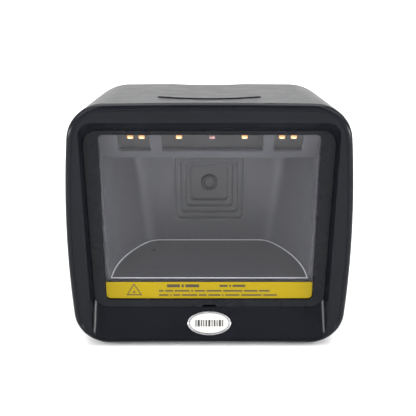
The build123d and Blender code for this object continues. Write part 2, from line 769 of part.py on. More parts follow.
with BuildPart() as camera_ribbon:
    with BuildSketch(Plane.YZ.offset(ribbon_middle)):
        with BuildLine():
            FilletPolyline((sensor_back + 0.8, 60.0), (sensor_back + 0.8, 57.0), (sensor_back + 3.0, 52.0),
                           (sensor_back + 3.0, board_top + 1.2), (37.0, board_top + 1.2), radius=2.0)
        trace(line_width=0.3)
    extrude(amount=(ribbon_right - ribbon_left) / 2, both=True)

with BuildPart() as led_harness:
    plug_end = lamp_board_back.from_local_coords((*lamp_plug, -plug_height))
    with BuildLine():
        route = FilletPolyline(plug_end, plug_end - panel_plane.z_dir * 7, (32, -4, 121), (53, 16, 112),
                               (53, 31, 90), (53, 31, 38), (harness_place[0], harness_place[1], 34),
                               (*harness_place, board_top + connector_height), radius=5.0)
    with BuildSketch(Plane(route @ 0, z_dir=route % 0)):
        Circle(1.3)
    sweep(path=route)

with BuildPart() as key_harness:
    key_plug_end = lamp_board_back.from_local_coords((*key_plug, -plug_height))
    with BuildLine():
        key_route = FilletPolyline((-25.0, key_board_depth + 3.0, key_board_top + 1.3),
                                   (-25.0, key_back + 2.0, key_board_top + 1.3),
                                   key_plug_end - panel_plane.z_dir * 6, key_plug_end, radius=2.5)
    with BuildSketch(Plane(key_route @ 0, z_dir=key_route % 0)):
        Circle(0.8)
    sweep(path=key_route)

socket_front = 29.4
socket_back = rear - cover_thickness - 0.6
cavity_half = 5.9
cavity_height = 8.2

with BuildPart() as cable_socket:
    add(slab(board_top, 2 * socket_level - board_top, socket_half, socket_front, socket_back, 0.4))
    with BuildSketch(facing(socket_back)):
        with Locations((0, socket_level)):
            Rectangle(2 * cavity_half, cavity_height)
        with Locations((0, socket_level + 4.6)):
            Rectangle(6.2, 1.6)
    extrude(amount=12.2, mode=Mode.SUBTRACT)

with BuildPart() as socket_contacts:
    with BuildSketch(Plane.XY.offset(socket_level - cavity_height / 2)):
        with Locations((0, socket_back - 7.0)):
            with GridLocations(1.02, 0, 8, 1):
                Rectangle(0.5, 8.0)
    extrude(amount=0.6)

# ---------------------------------------------------------------- fasteners
base_screw_length = 3.4

with BuildPart() as housing_screws:
    add(screws(backing(post_back + well_floor), post_points, 2.9, 2.2, 1.15, well_floor + 7.5))

with BuildPart() as shroud_screws:
    add(screws(backing(ledge_back + shroud_wall), ear_points, 1.9, 1.3, 0.85, shroud_wall + 1.3))

with BuildPart() as baffle_screws:
    add(screws(backing(baffle_flange_back), baffle_screw_points, 1.8, 1.2, 0.85, 1.6 + 1.2))

with BuildPart() as camera_screws:
    add(screws(backing(sensor_back), [(-x, z) for x, z in camera_posts], 1.9, 1.3, 0.85, 1.4 + 4.0))

with BuildPart() as led_board_screws:
    screw_plane = Plane(lamp_board_back.origin, x_dir=(1, 0, 0), z_dir=panel_plane.z_dir * -1)
    add(screws(screw_plane, [(x, -y) for x, y in lamp_screw_points], 1.4, 0.9, 0.7, 1.2 + 1.1))

with BuildPart() as board_screws:
    add(screws(Plane.XY.offset(board_top), board_posts, 2.5, 1.8, 1.2, board_thickness + 4.0))

with BuildPart() as weight_screws:
    add(screws(Plane.XY.offset(cavity_floor + 4.0), weight_screw_points, 2.5, 1.5, 1.2, 4.0 + 1.5))

with BuildPart() as key_board_screws:
    under = Plane((0, 0, key_board_top - 1.2), x_dir=(1, 0, 0), z_dir=(0, 0, -1))
    add(screws(under, [(x, -y) for x, y in key_screw_points], 1.8, 1.1, 0.85, 1.2 + 4.0))

with BuildPart() as base_screws:
    with BuildSketch(Plane.XY.offset(base_bottom)):
        with Locations(*base_screw_points):
            Circle(2.45)
    extrude(amount=1.1, taper=41)
    with BuildSketch(Plane.XY.offset(base_bottom + 1.0)):
        with Locations(*base_screw_points):
            Circle(1.2)
    extrude(amount=base_screw_length - 1.0)
    with BuildSketch(Plane.XY.offset(base_bottom)):
        with Locations(*base_screw_points):
            Rectangle(3.0, 0.6)
            Rectangle(0.6, 3.0)
    extrude(amount=0.6, mode=Mode.SUBTRACT)

# ---------------------------------------------------------------- export
pieces = dict(
    front_bezel=front_bezel, rear_housing=rear_housing, rear_cover=rear_cover,
    base_plate=base_plate, base_screws=base_screws, rubber_feet=rubber_feet,
    rating_label=rating_label, ballast_weight=ballast_weight,
    weight_screws=weight_screws, housing_screws=housing_screws,
    window_frame=window_frame, scan_window=scan_window, window_gasket=window_gasket,
    caution_strip=caution_strip, badge_rim=badge_rim, badge_plate=badge_plate,
    top_key=top_key, switch_plunger=switch_plunger, key_springs=key_springs, key_switch=key_switch,
    key_board=key_board, key_board_screws=key_board_screws, key_harness=key_harness,
    light_shroud=light_shroud, shroud_floor=shroud_floor, shroud_screws=shroud_screws,
    camera_baffle=camera_baffle, baffle_screws=baffle_screws, lens_barrel=lens_barrel,
    lens_glass=lens_glass, lens_holder=lens_holder, image_sensor=image_sensor,
    sensor_board=sensor_board, camera_screws=camera_screws, camera_ribbon=camera_ribbon,
    led_board_left=led_board_left, led_board_centre=led_board_centre, led_board_right=led_board_right,
    illumination_leds=illumination_leds, presence_sensor=presence_sensor,
    led_board_screws=led_board_screws, led_harness=led_harness,
    main_board=main_board, processor_chip=processor_chip, memory_chip=memory_chip,
    capacitors=capacitors, inductor=inductor, board_connectors=board_connectors,
    board_screws=board_screws, buzzer=buzzer, cable_socket=cable_socket,
    socket_contacts=socket_contacts)

for name, piece in pieces.items():
    piece.part.label = name
    export_step(piece.part, f"parts/{name}.step")
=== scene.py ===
"""Looks of a desktop presentation barcode scanner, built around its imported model.

Run as a script. Each operator makes one piece, or a group of like pieces, as a surface worked out
with numpy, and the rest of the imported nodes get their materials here. Lengths in the formulas are
millimetres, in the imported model's frame: x right, y from the window to the back, z up.
"""

import json
from math import cos, pi, radians, sin
from types import SimpleNamespace

import bpy
import numpy as np
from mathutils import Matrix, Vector


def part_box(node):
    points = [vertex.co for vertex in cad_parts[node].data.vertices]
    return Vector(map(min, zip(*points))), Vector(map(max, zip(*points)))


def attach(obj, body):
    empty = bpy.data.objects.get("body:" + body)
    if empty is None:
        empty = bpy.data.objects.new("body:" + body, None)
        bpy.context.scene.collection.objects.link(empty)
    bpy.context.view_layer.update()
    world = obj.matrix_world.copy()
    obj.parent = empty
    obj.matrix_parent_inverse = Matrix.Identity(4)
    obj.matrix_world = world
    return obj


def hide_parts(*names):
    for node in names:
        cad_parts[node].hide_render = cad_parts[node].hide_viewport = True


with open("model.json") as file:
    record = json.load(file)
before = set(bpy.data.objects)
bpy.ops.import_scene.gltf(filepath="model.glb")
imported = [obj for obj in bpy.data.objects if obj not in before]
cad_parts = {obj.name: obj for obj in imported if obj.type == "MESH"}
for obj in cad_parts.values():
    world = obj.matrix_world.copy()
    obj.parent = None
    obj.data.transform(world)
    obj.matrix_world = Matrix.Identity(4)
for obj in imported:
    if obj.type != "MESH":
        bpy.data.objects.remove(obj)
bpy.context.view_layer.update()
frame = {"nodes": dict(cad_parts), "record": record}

bl_info = {
    "name": "Desktop barcode scanner",
    "version": (1, 0, 0),
    "blender": (4, 5, 0),
    "location": "View3D > Sidebar > Scanner",
    "description": "Builds the visible pieces, finishes and studio of a desktop barcode scanner",
    "category": "Object",
}

MM = 0.001
CASE = "case"


def low_of(node):
    """A node's lowest corner, in millimetres."""
    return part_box(node)[0] / MM


def high_of(node):
    """A node's highest corner, in millimetres."""
    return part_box(node)[1] / MM


FRONT = low_of("front_bezel").y
SEAM = low_of("rear_housing").y
REAR = high_of("rear_housing").y
FRAME_FACE = low_of("window_frame").y
PANE_BACK = high_of("scan_window").y
LEDGE_BACK = PANE_BACK + 2.8
FLOOR_LEVEL = high_of("shroud_floor").z
BACK_WALL = low_of("camera_baffle").y
PANEL_TOP = np.array([0.0, -33.4, 121.7])      # the slanted lamp panel's upper and lower edges
PANEL_FOOT = np.array([0.0, -23.5, 104.5])
LAMP_PLACES = (-41.4, -35.4, -15.9, 18.5, 38.0, 44.2)
LAMP_LEVEL = 4.9                               # along the panel, above its middle
LAMP_FACE = -0.8                               # the lamps' faces, behind the panel's face
CAMERA_LEVEL = (low_of("lens_barrel").z + high_of("lens_barrel").z) / 2


# ------------------------------------------------------------------ outlines and grids
def circle_through(first, middle, last):
    """The centre and radius of the circle through three points, where two chords' bisectors meet."""
    first, middle, last = (np.asarray(point, float) for point in (first, middle, last))
    rows = 2 * np.array([middle - first, last - first])
    centre = np.linalg.solve(rows, [middle @ middle - first @ first, last @ last - first @ first])
    return centre, np.linalg.norm(first - centre)


def corner_centre(one, other, corner, radius):
    """The centre of a rounding that touches two circles from inside, near their corner.

    It lies the rounding's radius inside each circle; a hollow side's radius is negative.
    """
    (centre_one, radius_one), (centre_other, radius_other) = one, other
    reach_one, reach_other = abs(radius_one - radius), abs(radius_other - radius)
    gap = np.linalg.norm(centre_other - centre_one)
    along = (reach_one ** 2 - reach_other ** 2 + gap ** 2) / (2 * gap)
    across = np.sqrt(max(reach_one ** 2 - along ** 2, 0.0))
    direction = (centre_other - centre_one) / gap
    middle = centre_one + along * direction
    sideways = across * np.array([-direction[1], direction[0]])
    return min((middle + sideways, middle - sideways), key=lambda point: np.linalg.norm(point - corner))


def touch(circle, centre):
    """The point where a circle meets the rounding that has this centre."""
    outward = centre - circle[0]
    return circle[0] + outward / np.linalg.norm(outward) * abs(circle[1])


def arc(centre, start, end, count):
    """Points along the short arc about a centre, by equal angles, without its last point."""
    first = np.arctan2(*(start - centre)[::-1])
    turn = (np.arctan2(*(end - centre)[::-1]) - first + pi) % (2 * pi) - pi
    angles = first + turn * np.arange(count) / count
    return centre + np.linalg.norm(start - centre) * np.stack([np.cos(angles), np.sin(angles)], 1)


def soft_box(low_half, mid_half, top_half, low, top, widest, crown=0.02, arch=0.02,
             low_radius=4.0, top_radius=4.0, counts=(18, 14, 30, 14, 18)):
    """A closed outline of four shallow arcs with rounded corners, as x and z, from the bottom's middle.

    The right half runs along the bottom, round the corner, up the side, round and to the top's
    middle; the left half is its mirror image.
    """
    low_corner, top_corner = np.array([low_half, low]), np.array([top_half, top])
    centre, radius = circle_through((-low_half, low), (0, low + arch), low_corner)
    bottom = (centre, -radius if arch > 0 else radius)
    side = circle_through(low_corner, (mid_half, widest), top_corner)
    roof = circle_through(top_corner, (0, top + crown), (-top_half, top))
    low_centre = corner_centre(bottom, side, low_corner, low_radius)
    top_centre = corner_centre(side, roof, top_corner, top_radius)
    runs = ((bottom[0], np.array([0, low + arch]), touch(bottom, low_centre)),
            (low_centre, touch(bottom, low_centre), touch(side, low_centre)),
            (side[0], touch(side, low_centre), touch(side, top_centre)),
            (top_centre, touch(side, top_centre), touch(roof, top_centre)),
            (roof[0], touch(roof, top_centre), np.array([0, top + crown])))
    right = np.concatenate([arc(*run, count) for run, count in zip(runs, counts)])
    left = right[1:][::-1] * [-1, 1]
    return np.concatenate([right, [[0, top + crown]], left])


def at_depth(outline, depth):
    """An outline of x and z set at one depth, or at a depth for each point, as x, y, z."""
    return np.stack([outline[:, 0], np.broadcast_to(depth, len(outline)), outline[:, 1]], 1)


def blend_rings(first, last, shares):
    """Rings that pass straight from one ring to another at the given shares of the way."""
    return [first + (last - first) * share for share in shares]


def quarter(steps):
    """Pairs of sine and one less cosine over a quarter turn, for a rounded edge."""
    angles = np.linspace(0, pi / 2, steps)
    return list(zip(np.sin(angles), 1 - np.cos(angles)))


def grid_faces(rows, columns, wrap_rows, wrap_columns):
    """Four-sided faces between neighbouring rows and columns of a grid, as an index array."""
    row = np.arange(rows if wrap_rows else rows - 1)[:, None]
    column = np.arange(columns if wrap_columns else columns - 1)[None, :]
    next_row, next_column = (row + 1) % rows, (column + 1) % columns
    corners = (row * columns + column, row * columns + next_column,
               next_row * columns + next_column, next_row * columns + column)
    return np.stack(corners, -1).reshape(-1, 4)


def add_mesh(name, points, faces, sharp=35.0):
    """A smooth-shaded mesh object from points in millimetres and lists of faces, facing outwards.

    The sum of each face's tetrahedron with the origin is the enclosed volume, so a negative sum
    means that the faces point inwards, and they are turned round.
    """
    volume = 0.0
    for group in faces:
        a, b, c = points[group[:, 0]], points[group[:, 1]], points[group[:, 2]]
        volume += np.einsum("ij,ij->", a, np.cross(b, c))
        if group.shape[1] == 4:
            d = points[group[:, 3]]
            volume += np.einsum("ij,ij->", a, np.cross(c, d))
    if volume < 0:
        faces = [group[:, ::-1] for group in faces]
    mesh = bpy.data.meshes.new(name)
    mesh.from_pydata(points * MM, [], [tuple(face) for group in faces for face in group.tolist()])
    mesh.polygons.foreach_set("use_smooth", np.ones(len(mesh.polygons), bool))
    mesh.validate()
    mesh.set_sharp_from_angle(angle=radians(sharp))
    piece = bpy.data.objects.new(name, mesh)
    bpy.context.scene.collection.objects.link(piece)
    return piece


def ring_surface(name, rings, closed_path=False, sharp=35.0):
    """A surface through rings of equal counts: a torus when the path closes, else capped by poles."""
    rings = np.asarray(rings, float)
    rows, columns, _ = rings.shape
    points = rings.reshape(-1, 3)
    faces = [grid_faces(rows, columns, closed_path, True)]
    if not closed_path:
        poles = np.array([rings[0].mean(0), rings[-1].mean(0)])
        column = np.arange(columns)
        after = (column + 1) % columns
        first_pole, last_pole = len(points), len(points) + 1
        points = np.concatenate([points, poles])
        last_row = (rows - 1) * columns
        faces.append(np.stack([after, column, np.full(columns, first_pole)], 1))
        faces.append(np.stack([last_row + column, last_row + after, np.full(columns, last_pole)], 1))
    return add_mesh(name, points, faces, sharp)


def swept(name, path, outward, up, profile, sharp=35.0):
    """A closed bead: a closed profile, given as outward and upward offsets, carried round a path."""
    across, rise = np.asarray(profile, float).T
    rings = (path[:, None] + outward[:, None] * across[None, :, None]
             + np.asarray(up, float)[None, None] * rise[None, :, None])
    return ring_surface(name, rings, closed_path=True, sharp=sharp)


def circle_profile(radius, count=12, squash=1.0):
    """A closed round profile about the path."""
    angles = np.arange(count) * 2 * pi / count
    return np.stack([radius * np.cos(angles), radius * squash * np.sin(angles)], 1)


def outward_of(path, up):
    """The unit directions across a closed path, away from its inside."""
    along = np.roll(path, -1, 0) - np.roll(path, 1, 0)
    across = np.cross(along, up)
    across /= np.linalg.norm(across, axis=1, keepdims=True)
    inside = path.mean(0)
    return across if np.einsum("ij,ij->", across, path - inside) > 0 else -across


def rounded_square(half, radius, count=8):
    """A rounded square about the middle, anticlockwise, as x and y."""
    angles = np.linspace(0, pi / 2, count)
    corner = np.stack([np.cos(angles), np.sin(angles)], 1) * radius + (half - radius)
    turns = [np.array([[cos(a), sin(a)], [-sin(a), cos(a)]]) for a in np.arange(4) * pi / 2]
    return np.concatenate([corner @ turn for turn in turns])


class Plane:
    """A plane in space with its own right, up and outward directions."""

    def __init__(self, origin, outward):
        self.outward = np.asarray(outward, float) / np.linalg.norm(outward)
        self.right = np.array([1.0, 0.0, 0.0])
        self.up = np.cross(self.outward, self.right)
        self.origin = np.asarray(origin, float)

    def at(self, flat, height=0.0):
        """Points of the plane, from their places on it and their heights above it."""
        flat = np.asarray(flat, float)
        return (self.origin + flat[..., :1] * self.right + flat[..., 1:2] * self.up
                + np.asarray(height, float)[..., None] * self.outward)


def bars(name, plane, boxes, thickness):
    """Thin closed bars on a plane: each has its middle's place, its width and its height."""
    unit = np.array([[-1, -1], [1, -1], [1, 1], [-1, 1]], float) / 2
    sizes = np.asarray(boxes, float)
    corners = sizes[:, None, :2] + unit[None] * sizes[:, None, 2:]
    points = np.concatenate([plane.at(corners), plane.at(corners, thickness)], 1).reshape(-1, 3)
    sides = np.array([[0, 3, 2, 1], [4, 5, 6, 7], [0, 1, 5, 4], [1, 2, 6, 5], [2, 3, 7, 6], [3, 0, 4, 7]])
    faces = (sides[None] + 8 * np.arange(len(sizes))[:, None, None]).reshape(-1, 4)
    return add_mesh(name, points, [faces])


def finish_piece(piece, body, slot, material, *nodes):
    """Puts a made piece on its body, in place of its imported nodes, with its finish."""
    piece.data.materials.clear()
    piece.data.materials.append(material)
    if nodes:
        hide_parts(*nodes)
    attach(piece, body)
    return piece


# ------------------------------------------------------------------ materials
class Nodes:
    """A small helper that adds and links shader nodes of one material."""

    def __init__(self, name):
        self.material = bpy.data.materials.new(name)
        self.material.use_nodes = True
        self.tree = self.material.node_tree
        self.tree.nodes.clear()
        self.output = self.add("ShaderNodeOutputMaterial")
        self.place = self.add("ShaderNodeTexCoord").outputs["Object"]

    def add(self, kind, **values):
        """A node of a kind, with the named inputs or properties set."""
        node = self.tree.nodes.new(kind)
        for key, value in values.items():
            label = key.replace("_", " ")
            socket = next((s for s in node.inputs if s.name.lower() == label.lower()), None)
            if socket is None:
                setattr(node, key, value)
            else:
                socket.default_value = value
        return node

    def link(self, source, target):
        """Links an output to an input."""
        self.tree.links.new(source, target)

    def noise(self, size, detail=3.0, roughness=0.5, stretch=(1, 1, 1)):
        """Noise whose features are about a size in millimetres, stretched along an axis."""
        mapping = self.add("ShaderNodeMapping")
        mapping.inputs["Scale"].default_value = stretch
        self.link(self.place, mapping.inputs["Vector"])
        noise = self.add("ShaderNodeTexNoise", Scale=1.0 / (size * MM), Detail=detail, Roughness=roughness)
        self.link(mapping.outputs[0], noise.inputs["Vector"])
        return noise.outputs["Fac"]

    def spread(self, source, low, high, first=0.3, last=0.7):
        """The source's range from first to last, carried to low and high."""
        node = self.add("ShaderNodeMapRange", From_Min=first, From_Max=last, To_Min=low, To_Max=high)
        self.link(source, node.inputs["Value"])
        return node.outputs["Result"]

    def tint(self, share, dark, light):
        """A colour between two, by a share."""
        node = self.add("ShaderNodeMix", data_type="RGBA")
        self.link(share, node.inputs["Factor"])
        node.inputs["A"].default_value = (*dark, 1)
        node.inputs["B"].default_value = (*light, 1)
        return node.outputs["Result"]

    def bump(self, height, depth, strength=1.0, after=None):
        """A bump of a depth in millimetres, on top of another when given."""
        node = self.add("ShaderNodeBump", Distance=depth * MM, Strength=strength)
        self.link(height, node.inputs["Height"])
        if after is not None:
            self.link(after, node.inputs["Normal"])
        return node.outputs["Normal"]


def shade(colour, factor):
    """A colour made darker or lighter by a factor."""
    return tuple(min(channel * factor, 1.0) for channel in colour)


def moulded(name, colour, roughness, grain=0.35, depth=0.012, mottle=0.08, gloss=0.5, coat=0.0):
    """Moulded plastic, rubber or paint: a fine grain, soft mottling and handling smudges."""
    nodes = Nodes(name)
    shader = nodes.add("ShaderNodeBsdfPrincipled", Specular_IOR_Level=gloss, Coat_Weight=coat,
                       Coat_Roughness=0.12)
    broad = nodes.noise(26.0, 4.0)
    fine = nodes.noise(grain, 2.0, 0.6)
    colour_out = nodes.tint(nodes.spread(broad, 0, 1), shade(colour, 1 - mottle), shade(colour, 1 + mottle))
    nodes.link(colour_out, shader.inputs["Base Color"])
    smudge = nodes.noise(9.0, 5.0, 0.65)
    nodes.link(nodes.spread(smudge, roughness - 0.03, roughness + 0.04), shader.inputs["Roughness"])
    nodes.link(nodes.bump(fine, depth), shader.inputs["Normal"])
    nodes.link(shader.outputs[0], nodes.output.inputs["Surface"])
    return nodes.material


def metal(name, colour, roughness, stretch=(1, 1, 1), grain=0.25):
    """Bare or plated metal with fine drawn marks and a slight tarnish."""
    nodes = Nodes(name)
    shader = nodes.add("ShaderNodeBsdfPrincipled", Metallic=1.0)
    stain = nodes.noise(5.0, 4.0, 0.6)
    nodes.link(nodes.tint(nodes.spread(stain, 0, 1), shade(colour, 0.85), shade(colour, 1.08)),
               shader.inputs["Base Color"])
    marks = nodes.noise(grain, 2.0, 0.7, stretch)
    nodes.link(nodes.spread(marks, roughness * 0.75, roughness * 1.3), shader.inputs["Roughness"])
    nodes.link(nodes.bump(marks, 0.004, 0.6), shader.inputs["Normal"])
    nodes.link(shader.outputs[0], nodes.output.inputs["Surface"])
    return nodes.material


def pane_glass(name, colour):
    """Clear thin glass: it lets light straight through and mirrors more at a glance, with faint haze.

    Each face mirrors a small share head on, and more with the fifth power of how edge-on it is.
    """
    nodes = Nodes(name)
    clear = nodes.add("ShaderNodeBsdfTransparent", Color=(*colour, 1))
    mirror = nodes.add("ShaderNodeBsdfGlossy", Color=(1, 1, 1, 1))
    haze = nodes.noise(30.0, 5.0, 0.6)
    nodes.link(nodes.spread(haze, 0.05, 0.12), mirror.inputs["Roughness"])
    edge_on = nodes.add("ShaderNodeLayerWeight", Blend=0.5)
    rising = nodes.add("ShaderNodeMath", operation="POWER")
    nodes.link(edge_on.outputs["Facing"], rising.inputs[0])
    rising.inputs[1].default_value = 5.0
    mirrored = nodes.spread(rising.outputs[0], 0.0145, 0.42, 0.0, 1.0)
    blend = nodes.add("ShaderNodeMixShader")
    nodes.link(mirrored, blend.inputs[0])
    nodes.link(clear.outputs[0], blend.inputs[1])
    nodes.link(mirror.outputs[0], blend.inputs[2])
    nodes.link(blend.outputs[0], nodes.output.inputs["Surface"])
    return nodes.material


def coated_glass(name, colour, roughness, coat=1.0):
    """Dark coated optical glass, a polished body with a faint sheen of another colour."""
    nodes = Nodes(name)
    shader = nodes.add("ShaderNodeBsdfPrincipled", Coat_Weight=coat, Coat_Roughness=0.1,
                       Specular_IOR_Level=0.3)
    tone = nodes.noise(1.5, 2.0)
    nodes.link(nodes.tint(nodes.spread(tone, 0, 1), shade(colour, 0.6), shade(colour, 1.4)),
               shader.inputs["Base Color"])
    nodes.link(nodes.spread(tone, roughness, roughness + 0.04), shader.inputs["Roughness"])
    nodes.link(shader.outputs[0], nodes.output.inputs["Surface"])
    return nodes.material


def circuit(name, mask, track, pitch=1.6):
    """Solder mask over tracks: bands of noise stand for the copper, raised and a little lighter."""
    nodes = Nodes(name)
    shader = nodes.add("ShaderNodeBsdfPrincipled", Coat_Weight=0.3, Coat_Roughness=0.15)
    cells = nodes.add("ShaderNodeTexBrick", Scale=1.0 / (pitch * MM), Mortar_Size=0.035, offset=0.37,
                      squash=2.3, squash_frequency=3)
    nodes.link(nodes.place, cells.inputs["Vector"])
    lines = cells.outputs["Fac"]
    nodes.link(nodes.tint(lines, mask, track), shader.inputs["Base Color"])
    nodes.link(nodes.spread(nodes.noise(4.0, 3.0), 0.28, 0.42), shader.inputs["Roughness"])
    nodes.link(nodes.bump(lines, 0.03, 0.6), shader.inputs["Normal"])
    nodes.link(shader.outputs[0], nodes.output.inputs["Surface"])
    return nodes.material


def lamp(name, core, rim):
    """Phosphor resin: pale in the middle of each package and deeper in colour at its edge. The lamps are
    off, so its faint emission is a painted glow.
    """
    nodes = Nodes(name)
    # the emission strength gives the unlit resin a faint painted glow
    shader = nodes.add("ShaderNodeBsdfPrincipled", Roughness=0.35, Coat_Weight=0.4,
                       Emission_Strength=0.55, Subsurface_Weight=0.2, Subsurface_Scale=0.001)
    grain = nodes.noise(0.9, 3.0, 0.7)
    colour = nodes.tint(nodes.spread(grain, 0, 1), rim, core)
    nodes.link(colour, shader.inputs["Base Color"])
    nodes.link(colour, shader.inputs["Emission Color"])
    nodes.link(nodes.bump(grain, 0.02), shader.inputs["Normal"])
    nodes.link(shader.outputs[0], nodes.output.inputs["Surface"])
    return nodes.material


FINISHES = {  # maker, colour or the name of a colour setting, and the maker's other values
    "bezel_plastic": (moulded, "bezel", 0.16, 0.25, 0.001, 0.1, 0.12),
    "shell_plastic": (moulded, "shell", 0.42, 0.45, 0.002, 0.05, 0.32),
    "key_plastic": (moulded, "key", 0.44, 0.30, 0.002, 0.05, 0.33),
    "frame_plastic": (moulded, "frame", 0.28, 0.20, 0.001, 0.1, 0.13),
    "shroud_plastic": (moulded, "inside", 0.34, 0.50, 0.0005, 0.04, 0.4),
    "floor_plastic": (moulded, "floor", 0.30, 0.50, 0.0005, 0.04, 0.4),
    # the pale glossy bead colour is a painted highlight along the joint of floor and walls
    "rim_plastic": (moulded, (0.80, 0.81, 0.86), 0.25, 0.50, 0.001, 0.10, 0.7),
    "baffle_plastic": (moulded, "inside", 0.36, 0.30, 0.0005, 0.04, 0.4),
    "holder_plastic": (moulded, (0.015, 0.015, 0.016), 0.5),
    "switch_plastic": (moulded, (0.03, 0.03, 0.03), 0.45),
    "socket_plastic": (moulded, (0.018, 0.018, 0.018), 0.42),
    "plug_plastic": (moulded, (0.62, 0.58, 0.48), 0.45),
    "chip_resin": (moulded, (0.018, 0.018, 0.018), 0.55, 0.12, 0.01),
    "foot_rubber": (moulded, (0.022, 0.022, 0.022), 0.75, 0.20, 0.02, 0.15, 0.3),
    "gasket_foam": (moulded, (0.012, 0.012, 0.012), 0.9, 0.40, 0.10, 0.2, 0.2),
    "wire_sleeve": (moulded, (0.02, 0.02, 0.02), 0.5, 0.30, 0.02),
    "base_steel": (moulded, (0.018, 0.018, 0.019), 0.5, 0.30, 0.02),
    "strip_film": (moulded, "strip", 0.36, 0.30, 0.0005, 0.03, 0.14),
    "strip_ink": (moulded, (0.030, 0.022, 0.006), 0.45, 0.10, 0.001, 0.1),
    "badge_enamel": (moulded, "badge", 0.22, 0.30, 0.0005, 0.02, 0.5, 0.4),
    "badge_ink": (moulded, (0.02, 0.02, 0.022), 0.35, 0.10, 0.001),
    "blank_label": (moulded, (0.50, 0.51, 0.52), 0.42, 0.15, 0.004, 0.03),
    "ribbon_film": (moulded, (0.45, 0.21, 0.03), 0.3, 0.50, 0.004, 0.1, 0.5, 0.3),
    "lamp_board": (circuit, (0.002, 0.002, 0.003), (0.006, 0.006, 0.009), 2.6),
    "circuit_board": (circuit, (0.008, 0.075, 0.028), (0.016, 0.12, 0.045)),
    "window_glass": (pane_glass, (0.96, 0.96, 0.97)),
    "lens_glass": (coated_glass, (0.030, 0.028, 0.040), 0.30, 0.1),
    "sensor_glass": (coated_glass, (0.02, 0.04, 0.04), 0.06),
    "lens_metal": (metal, (0.035, 0.035, 0.04), 0.5),
    "screw_steel": (metal, (0.40, 0.40, 0.41), 0.32),
    "spring_steel": (metal, (0.55, 0.55, 0.55), 0.25),
    "ballast_iron": (metal, (0.16, 0.15, 0.14), 0.6, (1, 1, 1), 0.6),
    "can_aluminium": (metal, (0.70, 0.70, 0.72), 0.3, (1, 1, 0.05)),
    "badge_chrome": (metal, (0.42, 0.42, 0.44), 0.18),
    "contact_gold": (metal, (0.85, 0.60, 0.20), 0.22),
    # both lamp finishes glow faintly: a painted glow, since the lamps are off
    "lamp_resin": (lamp, (0.95, 0.62, 0.28), (0.85, 0.36, 0.06)),
    "lamp_core": (lamp, (1.0, 0.86, 0.62), (1.0, 0.72, 0.40)),
    "sensor_resin": (coated_glass, (0.55, 0.30, 0.28), 0.2),
}
made = {}


def finish(name):
    """The material of a finish, made once."""
    if name not in made:
        maker, colour, *values = FINISHES[name]
        if isinstance(colour, str):
            colour = tuple(getattr(bpy.context.scene.scanner_colours, colour))
        made[name] = maker(name, colour, *values)
    return made[name]


def dress(*nodes):
    """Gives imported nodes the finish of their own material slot."""
    slots = {part["node"]: part["material_slot"] for part in frame["record"]["subparts"]}
    for name in nodes:
        mesh = frame["nodes"][name].data
        mesh.materials.clear()
        mesh.materials.append(finish(slots[name]))


# ------------------------------------------------------------------ sizes and colours
def length(label, about, value):
    """A length property, its default given in millimetres."""
    return bpy.props.FloatProperty(name=label, description=about, default=value * MM, min=0.0, precision=5,
                                   unit="LENGTH")


def in_millimetres(group):
    """The lengths of a property group, in millimetres."""
    names = [name for name in group.bl_rna.properties.keys() if name not in ("rna_type", "name")]
    return SimpleNamespace(**{name: getattr(group, name) / MM for name in names})


class ScannerCase(bpy.types.PropertyGroup):
    """Sizes of the case's outline at the seam and at the rear."""
    low_half: length("Half width, bottom", "Half the ring's width at its foot", 73.1)
    mid_half: length("Half width, middle", "Half the ring's width where it is widest", 75.9)
    top_half: length("Half width, top", "Half the ring's width at its top", 70.4)
    top: length("Top", "Height of the ring's top corners", 139.6)
    crown: length("Crown", "Rise of the top's middle", 0.9)
    arch: length("Arch", "Rise of the bottom's middle", 0.8)
    foot: length("Foot", "Height of the case above the table", 1.5)
    widest: length("Widest height", "Height of the widest place", 59.5)
    top_radius: length("Top radius", "Radius of the ring's top corners", 20.0)
    low_radius: length("Bottom radius", "Radius of the ring's bottom corners", 19.0)
    rear_low_half: length("Rear half width, bottom", "Half the back's width at its foot", 70.5)
    rear_mid_half: length("Rear half width, middle", "Half the back's width where it is widest", 73.5)
    rear_top_half: length("Rear half width, top", "Half the back's width at its top", 72.0)
    rear_top: length("Rear top", "Height of the back's top corners", 126.5)
    rear_crown: length("Rear crown", "Rise of the back's top", 0.5)
    rear_arch: length("Rear arch", "Rise of the back's bottom", 0.1)
    rear_top_radius: length("Rear top radius", "Radius of the back's top corners", 26.0)
    edge: length("Ring edge", "Rounding of the ring's outer edge", 2.4)


class ScannerWindow(bpy.types.PropertyGroup):
    """Sizes of the recess and of the window in it."""
    front_top_half: length("Recess half width, top", "At the ring's face", 66.3)
    front_low_half: length("Recess half width, bottom", "At the ring's face", 64.8)
    front_low: length("Recess foot", "Height at the ring's face", 4.3)
    front_top: length("Recess top", "Height at the ring's face", 131.0)
    front_radius: length("Recess radius", "At the ring's face", 7.0)
    back_top_half: length("Frame half width, top", "At the window frame", 65.5)
    back_low_half: length("Frame half width, bottom", "At the window frame", 64.0)
    back_low: length("Frame foot", "Height at the window frame", 21.0)
    back_top: length("Frame top", "Height at the window frame", 124.4)
    back_radius: length("Frame radius", "At the window frame", 8.0)
    half: length("Window half width", "Half the clear window's width", 57.4)
    low: length("Window foot", "Height of the clear window's foot", 25.7)
    top: length("Window top", "Height of the clear window's top", 121.7)


